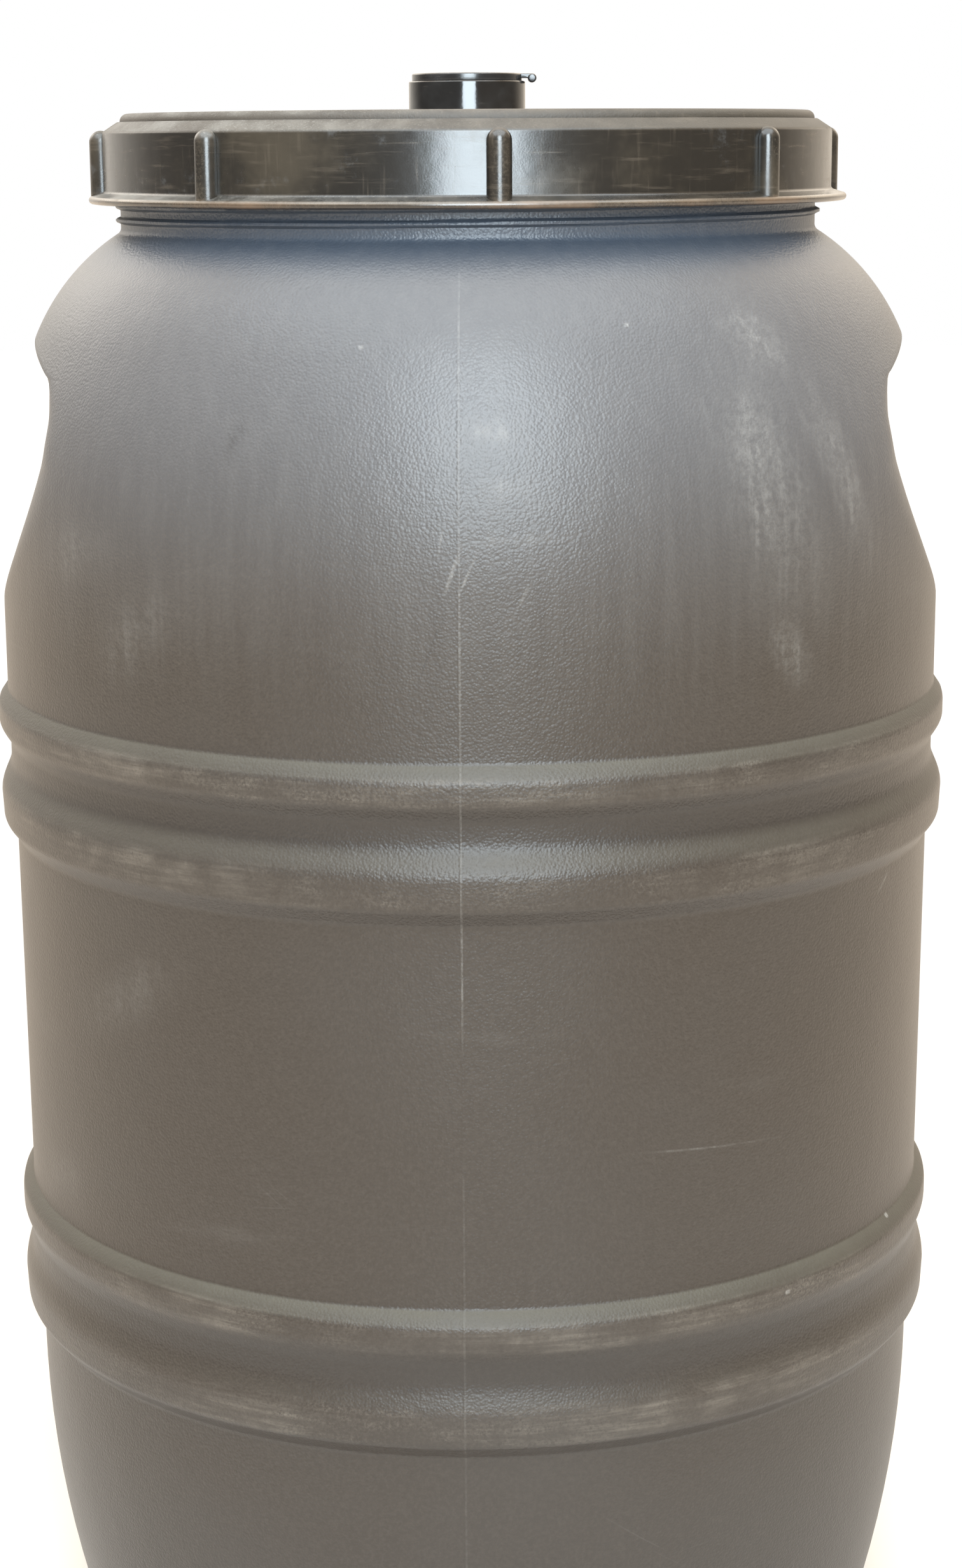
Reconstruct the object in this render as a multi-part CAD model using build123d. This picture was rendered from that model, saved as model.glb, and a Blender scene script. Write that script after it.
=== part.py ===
"""Wide-neck plastic drum with a screw lid: millimetres, +Z up, origin at the centre of the base."""
import os
from math import asin, cos, degrees, radians, sin, sqrt

from build123d import *

through = 1.0              # how far a cutting tool, or a joined solid, runs past the face it meets

# drum body
wall = 5.0                 # thickness of the blown wall
base_foot_r = 226.0        # outer radius of the flat foot ring
foot_width = 16.0          # width of the foot ring
base_rise = 14.0           # how far the middle of the base is pushed up
heel_r, heel_z = 248.5, 26.0        # where the bottom corner meets the tapering wall
taper_r, taper_z = 269.0, 112.0     # a point half-way up the tapering wall
belly_low_r = 278.3        # wall radius just under the lower hoops
belly_mid_low_r = 281.8    # wall radius just over the lower hoops
belly_mid_high_r = 283.2   # wall radius just under the upper hoops
belly_top_r = 285.8        # wall radius over the upper hoops
dome_start_z = 731.7       # height where the wall starts to curve in
dome_low_arc_r = 297.0     # radius of the long lower arc of the dome
dome_join_angle = 24.0     # degrees from upright where the two dome arcs meet
dome_high_arc_r = 132.2    # radius of the shorter upper arc of the dome

# rolling hoops: heights below the top edge of a pair
hoop_tops = {"upper": 641.0, "lower": 331.5}
hoop_crest_r = {"upper": 291.7, "lower": 288.7}
hoop_valley_r = {"upper": 285.2, "lower": 284.6}
ledge_drop = 7.5           # the bevelled ledge on top of the upper hoop
crest_drop = 19.0          # bottom of the upper hoop's crest
crest_round_drop = 3.0     # from the ledge down to the full crest
crest_soften = 0.8         # how much less the crest stands out at its two ends
valley_start_drop = 34.0
valley_end_drop = 42.0
low_crest_drop = 64.0      # top of the lower hoop's crest
low_crest_end_drop = 80.0
pair_height = 90.0         # where the wall goes on under the pair

# neck and its thread
neck_r = 208.3             # outer radius of the plain neck
neck_bore_r = 202.5
rim_z = 966.0
neck_fillet = 4.0
rim_round = 1.5
thread_pitch = 8.0
thread_height = 2.9
thread_base = 4.4          # width of a ridge at its root
thread_crest = 1.4         # width of a ridge at its crest
thread_root_overlap = 1.0  # how far a ridge is sunk into its wall
neck_thread_z = 917.5      # height of the first ridge at its start
neck_thread_start = 150.0  # degrees round from +X
neck_thread_turns = 4.9

# hand grips, one at +X and one at -X
grip_floor = [(285.8, 697.0), (275.1, 715.0), (263.7, 738.0), (245.3, 784.0), (238.8, 834.0)]
grip_lip_z = 847.0         # top of the arched lip
grip_arch_r = 480.0        # radius of that arch, seen from the side
grip_half_width = 150.0
grip_corner_r = 16.0       # where the floor meets the underside of the lip
grip_cutter_r = 340.0      # well outside the drum
grip_cutter_top_z = 887.0  # well over the lip

# screw lid
lid_skirt_r = 217.7
lid_skirt_inner_r = 212.6
lid_top_z = 980.0
lid_bottom_z = 928.0
flange_r = 226.8
flange_edge_z = 932.4      # upper edge of the flange's round rim
flange_fall = 2.2          # the flange's upper face falls this much outwards
flange_inner_r = 214.2     # mouth of the skirt, opened out a little
shoulder_z = 969.4         # top of the skirt, where the bevel starts
bevel_r, bevel_z = 208.8, 975.2     # top of the bevel
rim_roll_r = 4.6           # rounded outer edge of the raised rim
rim_roll_foot_r = 207.2
rim_inner_r = 186.0        # inner edge of the raised rim
rim_inner_lean = 6.0       # how much that edge leans
panel_z = 972.0            # top of the sunk panel
panel_thickness = 4.6
boss_r = 60.0              # thicker boss round the middle hole
boss_thickness = 7.0
boss_lean = 2.0            # how much the boss narrows downwards
lid_hole_r = 33.5
lid_rib_count = 8
lid_rib_r = 6.8            # half-round grip ribs
lid_rib_proud = 8.0
lid_rib_sunk = 2.0         # how far the ribs reach into the skirt
lid_rib_top_drop = 5.8     # from the skirt's top to where the ribs start to dome
lid_rib_phase = -85.4      # degrees round from +X
lid_thread_turns = 2.9
lid_thread_start_turns = 2.5        # the neck's ridge has made this many turns where the lid's starts
panel_rib_count = 12       # radial ribs under the panel
panel_rib_height = 5.0
panel_rib_thickness = 3.0
panel_rib_sunk = 0.5       # how far they reach into the panel
panel_rib_overlap = 2.0    # how far their outer ends reach into the rim; twice that into the boss

# gasket in the lid
gasket_inner_r = 200.4
gasket_outer_r = 209.6
gasket_height = 3.2
gasket_gap = 0.5           # side clearance in its groove
seat_gap = 0.1             # between faces that only meet when clamped
groove_side_lift = 1.0     # from the drum's rim up to where the skirt leans in to the groove
gasket_lip_width = 3.0     # inner wall of the groove
gasket_lip_depth = 5.5

# socket, washer and nut in the middle of the lid
socket_r = 34.85
socket_rim_z = 998.0
socket_rim_chamfer = 0.8
socket_bore_r = 28.0
socket_flange_r = 46.0
socket_flange_thickness = 4.5
socket_shank_r = 33.0
socket_bottom_z = 950.0
washer_thickness = 2.0
washer_outer_r = 44.0
nut_r = 45.0
nut_height = 10.0
nut_lobes = 8
nut_lobe_r = 7.0
nut_lobe_out = 3.15        # from the nut's edge out to the middle of each finger notch
nut_rim = 2.0              # full-round rim over the notches
shank_slack = 0.15         # between the shank and the parts it passes through

# plug
plug_head_r = 32.9
plug_head_thickness = 4.4
plug_head_round = 0.9
plug_gap = 0.3             # between the plug's skirt and the bore
plug_skirt_length = 16.0
plug_skirt_wall = 5.0
plug_dish_depth = 2.0      # the sunk middle of the head
plug_dish_r = 25.0
tab_half_width = 5.5
tab_thickness = 2.6
tab_reach = 38.9           # from the axis to the middle of the bead
tab_drop = 0.2             # below the top of the head
tab_overlap = 4.0          # how far the tab reaches into the head
bead_r = 2.6
bead_overhang = 1.5        # past each side of the tab
bead_round = 1.0
ring_section_r = 1.5       # the plug's rubber ring
ring_gap = 0.08            # between that ring and the bore
ring_drop = 8.0            # below the socket's rim
ring_groove_slack = 0.1


def at_angle(radius, angle):
    """A point at this radius, this many degrees round from +X."""
    return radius * cos(radians(angle)), radius * sin(radians(angle))


def revolve_profile(lines):
    """Turn a closed outline in the XZ plane once round Z."""
    face = make_face(Curve() + lines)
    return revolve(face, Axis.Z, 360)


def tube(inner, outer, low, high):
    """A plain ring between two radii and two heights."""
    body = Cylinder(outer, high - low, align=(Align.CENTER, Align.CENTER, Align.MIN))
    hole = Cylinder(inner, high - low, align=(Align.CENTER, Align.CENTER, Align.MIN))
    return Pos(0, 0, low) * (body - hole)


def disc(radius, low, high):
    return Pos(0, 0, low) * Cylinder(radius, high - low, align=(Align.CENTER, Align.CENTER, Align.MIN))


def hoop_pair(name, above_r, below_r, inset):
    """Outline of one pair of hoops, from the wall above down to the wall below."""
    top = hoop_tops[name]
    crest = hoop_crest_r[name] - inset
    valley = hoop_valley_r[name] - inset
    above = above_r - inset
    below = below_r - inset
    points = {
        "top": (above, top),
        "ledge": (crest - crest_soften, top - ledge_drop),
        "crest": (crest, top - ledge_drop - crest_round_drop),
        "crest_end": (crest, top - crest_drop),
        "valley": (valley, top - valley_start_drop),
        "valley_end": (valley, top - valley_end_drop),
        "low_crest": (crest, top - low_crest_drop),
        "low_crest_end": (crest - crest_soften, top - low_crest_end_drop),
        "bottom": (below, top - pair_height),
    }
    p = {key: Vector(x, 0, z) for key, (x, z) in points.items()}
    down = Vector(0, 0, -1)
    return [
        Line(p["top"], p["ledge"]),
        Line(p["ledge"], p["crest"]),
        Line(p["crest"], p["crest_end"]),
        Spline(p["crest_end"], p["valley"], tangents=[down, down]),
        Line(p["valley"], p["valley_end"]),
        Spline(p["valley_end"], p["low_crest"], tangents=[down, down]),
        Line(p["low_crest"], p["low_crest_end"]),
        Line(p["low_crest_end"], p["bottom"]),
    ]


def body_solid(inset):
    """The drum as a full solid of revolution; with inset, the space inside it."""
    join = radians(dome_join_angle)
    low_centre = Vector(belly_top_r - dome_low_arc_r, 0, dome_start_z)
    join_point = low_centre + Vector(cos(join), 0, sin(join)) * dome_low_arc_r
    high_centre = join_point - Vector(cos(join), 0, sin(join)) * dome_high_arc_r
    low_r = dome_low_arc_r - inset
    high_r = dome_high_arc_r - inset
    neck = neck_bore_r if inset else neck_r
    neck_angle = degrees(asin(sqrt(high_r ** 2 - (neck - high_centre.X) ** 2) / high_r))

    def on_dome(centre, radius, angle):
        return centre + Vector(cos(radians(angle)), 0, sin(radians(angle))) * radius

    dome_foot = Vector(belly_top_r - inset, 0, dome_start_z)
    dome_join = on_dome(high_centre, high_r, dome_join_angle)
    dome_top = on_dome(high_centre, high_r, neck_angle)
    low_mid = on_dome(low_centre, low_r, dome_join_angle / 2)
    high_mid = on_dome(high_centre, high_r, (dome_join_angle + neck_angle) / 2)
    top_z = rim_z + through if inset else rim_z

    low_end = Vector(belly_low_r - inset, 0, hoop_tops["lower"] - pair_height)
    heel = Vector(heel_r - inset, 0, heel_z + inset / 2)
    foot = Vector(base_foot_r - inset, 0, inset)
    foot_inner = Vector(base_foot_r - foot_width + inset, 0, inset)
    dish_edge = Vector(base_foot_r - foot_width - base_rise + inset, 0, base_rise + inset)
    dish_centre = Vector(0, 0, base_rise + inset)
    taper = ThreePointArc(low_end, Vector(taper_r - inset, 0, taper_z), heel)

    lines = [
        Line((0, 0, top_z), (neck, 0, top_z)),
        Line((neck, 0, top_z), dome_top),
        ThreePointArc(dome_top, high_mid, dome_join),
        ThreePointArc(dome_join, low_mid, dome_foot),
        Line(dome_foot, (belly_top_r - inset, 0, hoop_tops["upper"])),
        *hoop_pair("upper", belly_top_r, belly_mid_high_r, inset),
        Line((belly_mid_high_r - inset, 0, hoop_tops["upper"] - pair_height),
             (belly_mid_low_r - inset, 0, hoop_tops["lower"])),
        *hoop_pair("lower", belly_mid_low_r, belly_low_r, inset),
        taper,
        Spline(heel, foot, tangents=[taper % 1, Vector(-1, 0, 0)]),
        Line(foot, foot_inner),
        Line(foot_inner, dish_edge),
        Line(dish_edge, dish_centre),
        Line(dish_centre, (0, 0, top_z)),
    ]
    solid = revolve_profile(lines)
    if inset:
        return solid
    corner = [e for e in solid.edges().filter_by(GeomType.CIRCLE)
              if abs(e.radius - neck_r) < 0.01 and e.center().Z < rim_z - through]
    rim = [e for e in solid.edges().filter_by(GeomType.CIRCLE)
           if abs(e.radius - neck_r) < 0.01 and e.center().Z > rim_z - through]
    return fillet(corner, neck_fillet).fillet(rim_round, rim)


def grip_cutter(inset):
    """The scoop of one hand grip at +X; with inset, the scoop grown by the wall."""
    floor = [Vector(x - inset, 0, z) for x, z in grip_floor]
    lines = [
        Spline(*floor),
        Line(floor[-1], (floor[-1].X, 0, grip_cutter_top_z)),
        Line((floor[-1].X, 0, grip_cutter_top_z), (grip_cutter_r, 0, grip_cutter_top_z)),
        Line((grip_cutter_r, 0, grip_cutter_top_z), (grip_cutter_r, 0, floor[0].Z)),
        Line((grip_cutter_r, 0, floor[0].Z), floor[0]),
    ]
    width = 2 * (grip_half_width + inset)
    scoop = extrude(make_face(Curve() + lines), width / 2, both=True)
    arch_centre_z = grip_lip_z + inset - grip_arch_r
    arch = Rot(0, 90, 0) * Cylinder(grip_arch_r, grip_cutter_r * 2)
    arch = Pos(grip_cutter_r / 2, 0, arch_centre_z) * arch
    cutter = scoop & arch
    if inset:
        return cutter
    inner_corner = [e for e in cutter.edges()
                    if e.center().X < grip_floor[-1][0] + through and e.geom_type != GeomType.LINE]
    return fillet(inner_corner, grip_corner_r)


def thread_ridge(radius, start_z, start_angle, turns, inward):
    """A helical ridge on a wall of this radius, on its inside if inward, else on its outside."""
    side = -1 if inward else 1
    root = radius - side * thread_root_overlap
    crest = radius + side * thread_height
    path = Helix(thread_pitch, thread_pitch * turns, root)
    half_base = thread_base / 2 + thread_root_overlap * (thread_base - thread_crest) / 2 / thread_height
    outline = [
        (root, -half_base),
        (crest, -thread_crest / 2),
        (crest, thread_crest / 2),
        (root, half_base),
    ]
    section = make_face(Polyline([Vector(x, 0, z) for x, z in outline], close=True))
    ridge = sweep(section, path=path, is_frenet=True)
    return Pos(0, 0, start_z) * Rot(0, 0, start_angle) * ridge


def scooped(solid, inset):
    """The body with both hand grips taken out."""
    for side in (0, 180):
        solid -= Rot(0, 0, side) * grip_cutter(inset)
    return solid


def make_drum_shell():
    shell = scooped(body_solid(0), 0) - scooped(body_solid(wall), wall)
    return shell + thread_ridge(neck_r, neck_thread_z, neck_thread_start, neck_thread_turns, False)


def make_screw_lid():
    groove_roof_z = rim_z + gasket_height + 2 * seat_gap
    groove_side_z = rim_z + groove_side_lift
    groove_outer_r = gasket_outer_r + gasket_gap
    groove_inner_r = gasket_inner_r - gasket_gap
    lip_inner_r = groove_inner_r - gasket_lip_width
    panel_under_z = panel_z - panel_thickness
    rim_under_z = lid_top_z - panel_thickness
    roll_centre_r = rim_roll_foot_r - rim_roll_r
    roll_centre_z = lid_top_z - rim_roll_r
    flange_round = (flange_edge_z - lid_bottom_z) / 2
    flange_mid_z = (flange_edge_z + lid_bottom_z) / 2
    roll_45 = rim_roll_r * sqrt(0.5)
    lines = [
        Line((lid_hole_r, 0, panel_z), (rim_inner_r - rim_inner_lean, 0, panel_z)),
        Line((rim_inner_r - rim_inner_lean, 0, panel_z), (rim_inner_r, 0, lid_top_z)),
        Line((rim_inner_r, 0, lid_top_z), (roll_centre_r, 0, lid_top_z)),
        ThreePointArc((roll_centre_r, 0, lid_top_z),
                      (roll_centre_r + roll_45, 0, roll_centre_z + roll_45),
                      (rim_roll_foot_r, 0, roll_centre_z)),
        Line((rim_roll_foot_r, 0, roll_centre_z), (rim_roll_foot_r, 0, bevel_z)),
        Line((rim_roll_foot_r, 0, bevel_z), (bevel_r, 0, bevel_z)),
        Line((bevel_r, 0, bevel_z), (lid_skirt_r, 0, shoulder_z)),
        Line((lid_skirt_r, 0, shoulder_z), (lid_skirt_r, 0, flange_edge_z + flange_fall)),
        Line((lid_skirt_r, 0, flange_edge_z + flange_fall), (flange_r - flange_round, 0, flange_edge_z)),
        ThreePointArc((flange_r - flange_round, 0, flange_edge_z), (flange_r, 0, flange_mid_z),
                      (flange_r - flange_round, 0, lid_bottom_z)),
        Line((flange_r - flange_round, 0, lid_bottom_z), (flange_inner_r, 0, lid_bottom_z)),
        Line((flange_inner_r, 0, lid_bottom_z), (lid_skirt_inner_r, 0, flange_edge_z)),
        Line((lid_skirt_inner_r, 0, flange_edge_z), (lid_skirt_inner_r, 0, groove_side_z)),
        Line((lid_skirt_inner_r, 0, groove_side_z), (groove_outer_r, 0, groove_roof_z)),
        Line((groove_outer_r, 0, groove_roof_z), (groove_inner_r, 0, groove_roof_z)),
        Line((groove_inner_r, 0, groove_roof_z), (groove_inner_r, 0, groove_roof_z - gasket_lip_depth)),
        Line((groove_inner_r, 0, groove_roof_z - gasket_lip_depth),
             (lip_inner_r, 0, groove_roof_z - gasket_lip_depth)),
        Line((lip_inner_r, 0, groove_roof_z - gasket_lip_depth), (lip_inner_r, 0, panel_z)),
        Line((lip_inner_r, 0, panel_z), (lip_inner_r - gasket_lip_width, 0, rim_under_z)),
        Line((lip_inner_r - gasket_lip_width, 0, rim_under_z), (rim_inner_r, 0, rim_under_z)),
        Line((rim_inner_r, 0, rim_under_z), (rim_inner_r - rim_inner_lean, 0, panel_under_z)),
        Line((rim_inner_r - rim_inner_lean, 0, panel_under_z), (boss_r, 0, panel_under_z)),
        Line((boss_r, 0, panel_under_z), (boss_r - boss_lean, 0, panel_z - boss_thickness)),
        Line((boss_r - boss_lean, 0, panel_z - boss_thickness), (lid_hole_r, 0, panel_z - boss_thickness)),
        Line((lid_hole_r, 0, panel_z - boss_thickness), (lid_hole_r, 0, panel_z)),
    ]
    lid = revolve_profile(lines)
    lid += grip_ribs()
    lid += panel_ribs(panel_under_z)
    lid_thread_z = neck_thread_z + lid_thread_start_turns * thread_pitch
    return lid + thread_ridge(lid_skirt_inner_r, lid_thread_z, neck_thread_start, lid_thread_turns, True)


def grip_ribs():
    """The half-round ribs on the skirt, each with a domed top."""
    centre_r = lid_skirt_r + lid_rib_proud - lid_rib_r
    top_z = shoulder_z - lid_rib_top_drop
    foot_z = flange_edge_z - through
    rib = Pos(centre_r, 0, foot_z) * Cylinder(
        lid_rib_r, top_z - foot_z, align=(Align.CENTER, Align.CENTER, Align.MIN))
    rib += Pos(centre_r, 0, top_z) * Sphere(lid_rib_r)
    rib -= disc(lid_skirt_r - lid_rib_sunk, foot_z - through, top_z + 2 * lid_rib_r)
    step = 360 / lid_rib_count
    return [Rot(0, 0, lid_rib_phase + i * step) * rib for i in range(lid_rib_count)]


def panel_ribs(under_z):
    """Radial stiffening ribs under the panel."""
    start = boss_r - 2 * panel_rib_overlap
    length = rim_inner_r - rim_inner_lean + panel_rib_overlap - start
    rib = Box(length, panel_rib_thickness, panel_rib_height + 2 * panel_rib_sunk)
    rib = Pos(start + length / 2, 0, under_z - panel_rib_height / 2 + panel_rib_sunk) * rib
    step = 360 / panel_rib_count
    return [Rot(0, 0, i * step) * rib for i in range(panel_rib_count)]


def make_lid_gasket():
    low = rim_z + seat_gap
    return tube(gasket_inner_r, gasket_outer_r, low, low + gasket_height)


def make_bung_socket():
    flange_z = panel_z + washer_thickness
    body = disc(socket_flange_r, flange_z, flange_z + socket_flange_thickness)
    stem = disc(socket_r, flange_z, socket_rim_z)
    top_edge = stem.edges().filter_by(GeomType.CIRCLE).sort_by(Axis.Z)[-1]
    body += chamfer(top_edge, socket_rim_chamfer)
    body += disc(socket_shank_r, socket_bottom_z, flange_z + through)
    return body - disc(socket_bore_r, socket_bottom_z - through, socket_rim_z + through)


def make_bung_gasket():
    return tube(socket_shank_r + shank_slack, washer_outer_r, panel_z, panel_z + washer_thickness)


def make_bung_locknut():
    top = panel_z - boss_thickness
    nut = disc(nut_r, top - nut_height, top)
    for i in range(nut_lobes):
        x, y = at_angle(nut_r + nut_lobe_out, (i + 0.5) * 360 / nut_lobes)
        nut -= Pos(x, y, 0) * disc(nut_lobe_r, top - nut_height - through, top - nut_rim)
    return nut - disc(socket_shank_r + shank_slack, top - nut_height - through, top + through)


def make_bung_plug():
    seat_z = socket_rim_z + seat_gap
    top_z = seat_z + plug_head_thickness
    skirt_r = socket_bore_r - plug_gap
    plug = disc(plug_head_r, seat_z, top_z)
    plug = fillet(plug.edges().filter_by(GeomType.CIRCLE).sort_by(Axis.Z)[-1], plug_head_round)
    plug += disc(skirt_r, seat_z - plug_skirt_length, seat_z + through)
    plug -= disc(plug_dish_r, top_z - plug_dish_depth, top_z + through)
    plug -= disc(skirt_r - plug_skirt_wall, seat_z - plug_skirt_length - through, seat_z)
    ring_z = socket_rim_z - ring_drop
    half_groove = ring_section_r + ring_groove_slack
    floor_r = ring_centre_r() - half_groove
    plug -= tube(floor_r, skirt_r + through, ring_z - half_groove, ring_z + half_groove)
    tab_top = top_z - tab_drop
    tab_start = plug_head_r - tab_overlap
    tab = Box(tab_reach - tab_start, 2 * tab_half_width, tab_thickness)
    tab = Pos((tab_start + tab_reach) / 2, 0, tab_top - tab_thickness / 2) * tab
    bead = Rot(90, 0, 0) * Cylinder(bead_r, 2 * (tab_half_width + bead_overhang))
    bead = Pos(tab_reach, 0, tab_top - bead_r) * bead
    bead = fillet(bead.edges().filter_by(GeomType.CIRCLE), bead_round)
    return plug + tab + bead


def ring_centre_r():
    return socket_bore_r - ring_gap - ring_section_r


def make_plug_o_ring():
    return Pos(0, 0, socket_rim_z - ring_drop) * Torus(ring_centre_r(), ring_section_r)


pieces = {
    "drum_shell": make_drum_shell,
    "screw_lid": make_screw_lid,
    "lid_gasket": make_lid_gasket,
    "bung_socket": make_bung_socket,
    "bung_gasket": make_bung_gasket,
    "bung_locknut": make_bung_locknut,
    "bung_plug": make_bung_plug,
    "plug_o_ring": make_plug_o_ring,
}

os.makedirs("parts", exist_ok=True)
for name, make in pieces.items():
    solid = make()
    export_step(solid, f"parts/{name}.step")
    print(f"{name}: {solid.volume / 1000:.1f} cm3")
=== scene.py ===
from math import asin, atan2, cos, degrees, hypot, pi, radians, sin, sqrt

import bmesh
import bpy
import numpy
from mathutils import Matrix, Vector
from mathutils.geometry import interpolate_bezier


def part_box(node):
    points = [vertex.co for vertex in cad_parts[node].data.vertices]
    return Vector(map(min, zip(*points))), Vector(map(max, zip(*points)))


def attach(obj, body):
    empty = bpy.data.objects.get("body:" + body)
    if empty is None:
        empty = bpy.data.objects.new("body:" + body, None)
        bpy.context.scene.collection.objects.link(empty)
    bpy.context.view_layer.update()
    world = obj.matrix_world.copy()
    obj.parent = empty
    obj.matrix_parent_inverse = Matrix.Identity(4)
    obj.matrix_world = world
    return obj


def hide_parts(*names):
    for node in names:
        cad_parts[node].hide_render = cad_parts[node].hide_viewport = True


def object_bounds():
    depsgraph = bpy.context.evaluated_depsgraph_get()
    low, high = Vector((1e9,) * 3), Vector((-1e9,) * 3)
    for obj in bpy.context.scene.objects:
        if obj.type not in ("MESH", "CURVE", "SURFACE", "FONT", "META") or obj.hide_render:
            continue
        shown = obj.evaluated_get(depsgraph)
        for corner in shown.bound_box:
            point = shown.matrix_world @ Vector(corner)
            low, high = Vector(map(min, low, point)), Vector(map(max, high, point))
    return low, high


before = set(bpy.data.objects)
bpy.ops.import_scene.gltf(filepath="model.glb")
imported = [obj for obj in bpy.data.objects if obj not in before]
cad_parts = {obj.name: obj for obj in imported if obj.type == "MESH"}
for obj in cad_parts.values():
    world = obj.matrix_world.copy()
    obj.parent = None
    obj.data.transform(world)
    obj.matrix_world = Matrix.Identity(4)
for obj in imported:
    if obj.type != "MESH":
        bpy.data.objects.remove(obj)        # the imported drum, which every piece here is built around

scene = bpy.context.scene
mm = 0.001               # pieces are drawn in millimetres and finished in metres
cadLow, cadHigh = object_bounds()


# camera, floor, light

camera = {
    "aside": 5.9,        # all in millimetres and degrees
    "back": 1794.0,
    "height": 965.0,
    "lookDown": 12.5,
    "roll": -0.34,
    "lens": 66.93,
    "sensorHeight": 36.0,
}

studio = {
    "floorSize": 24.0,   # metres
    "floorTone": (0.80, 0.76, 0.71, 1.0),
    "floorPale": (0.84, 0.81, 0.77, 1.0),
    "floorGlow": (1.45, 1.24, 1.00, 1.0),        # what the far floor gives the drum
    "floorSeen": (1.0, 0.99, 0.97, 1.0),         # and what the camera sees of it
    "floorFade": (0.35, 1.5),    # metres from the drum's middle, where the floor turns into plain white
    "windowSize": (1.25, 2.3),
    "windowPlace": (0.20, -2.75, 2.0),
    "windowAim": (0.0, 0.0, 1.6),
    "windowPower": 136.0,
    "windowTint": (0.80, 0.92, 1.0),
    "ceilingSize": (3.2, 2.0),
    "ceilingPlace": (-0.1, -0.75, 2.7),
    "ceilingAim": (-0.1, -0.45, 0.0),
    "ceilingPower": 66.0,
    "ceilingTint": (0.84, 0.93, 1.0),
    "behindLeft": (1.0, 0.93, 0.83, 1.0),      # world light from behind the drum, on either side
    "behindRight": (1.0, 0.87, 0.71, 1.0),
    "frontLeft": (0.140, 0.122, 0.105, 1.0),   # and from the camera's side
    "frontRight": (0.178, 0.138, 0.098, 1.0),
    "roomStrength": 3.0,
    "horizonDim": 0.42,          # the room is darker level with the drum
    "overheadGain": 1.25,        # brighter overhead
    "sideGain": 1.6,             # and brighter high up on the left
}


def addObject(name, data):
    made = bpy.data.objects.new(name, data)
    scene.collection.objects.link(made)
    return made


def makeCamera():
    lens = bpy.data.cameras.new("camera")
    lens.sensor_fit = "VERTICAL"
    lens.sensor_height = camera["sensorHeight"]
    lens.lens = camera["lens"]
    lens.clip_start = 0.05
    lens.clip_end = 100.0
    holder = addObject("camera", lens)
    place = Vector((camera["aside"], -camera["back"], camera["height"])) * mm
    aim = Matrix.Rotation(radians(90 - camera["lookDown"]), 4, "X")
    tip = Matrix.Rotation(radians(camera["roll"]), 4, "Z")
    holder.matrix_world = Matrix.Translation(place) @ aim @ tip
    scene.camera = holder
    print("camera", lens.lens)


def makeSoftbox(name):
    light = bpy.data.lights.new(name, "AREA")
    light.shape = "RECTANGLE"
    light.size, light.size_y = studio[name + "Size"]
    light.energy = studio[name + "Power"]
    light.color = studio[name + "Tint"]
    holder = addObject(name, light)
    place = Vector(studio[name + "Place"])
    holder.location = place
    holder.rotation_euler = (Vector(studio[name + "Aim"]) - place).to_track_quat("-Z", "Y").to_euler()


def addNode(tree, kind, inputs=None, **settings):
    node = tree.nodes.new("ShaderNode" + kind)
    for name, value in settings.items():
        setattr(node, name, value)
    for socket, value in (inputs or {}).items():
        if isinstance(value, bpy.types.NodeSocket):
            tree.links.new(value, node.inputs[socket])
        else:
            node.inputs[socket].default_value = value
    return node


def calc(tree, operation, *values, clamp=False):
    node = addNode(tree, "Math", dict(enumerate(values)), operation=operation, use_clamp=clamp)
    return node.outputs[0]


def times(tree, a, b, clamp=False):
    return calc(tree, "MULTIPLY", a, b, clamp=clamp)


def timesPlus(tree, a, b, c, clamp=False):
    # a times b, plus c
    return calc(tree, "MULTIPLY_ADD", a, b, c, clamp=clamp)


def oneLess(tree, value):
    return calc(tree, "SUBTRACT", 1.0, value)


def ramp(tree, value, low, high, outLow=0.0, outHigh=1.0):
    # a soft step from outLow to outHigh as value goes from low to high
    inputs = {"Value": value, "From Min": low, "From Max": high, "To Min": outLow, "To Max": outHigh}
    return addNode(tree, "MapRange", inputs, interpolation_type="SMOOTHSTEP").outputs[0]


def blendColour(tree, factor, first, second, how="MIX"):
    inputs = {0: factor, 6: first, 7: second}
    return addNode(tree, "Mix", inputs, data_type="RGBA", blend_type=how).outputs[2]


def noise(tree, place, scale, detail=2.0, roughness=0.5):
    inputs = {"Vector": place, "Scale": scale, "Detail": detail, "Roughness": roughness}
    return addNode(tree, "TexNoise", inputs).outputs[0]


def radiusOf(tree, place):
    # how far a point is from the drum's axis
    split = addNode(tree, "SeparateXYZ", {0: place})
    flat = addNode(tree, "CombineXYZ", {"X": split.outputs["X"], "Y": split.outputs["Y"]})
    return addNode(tree, "VectorMath", {0: flat.outputs[0]}, operation="LENGTH").outputs["Value"]


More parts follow.
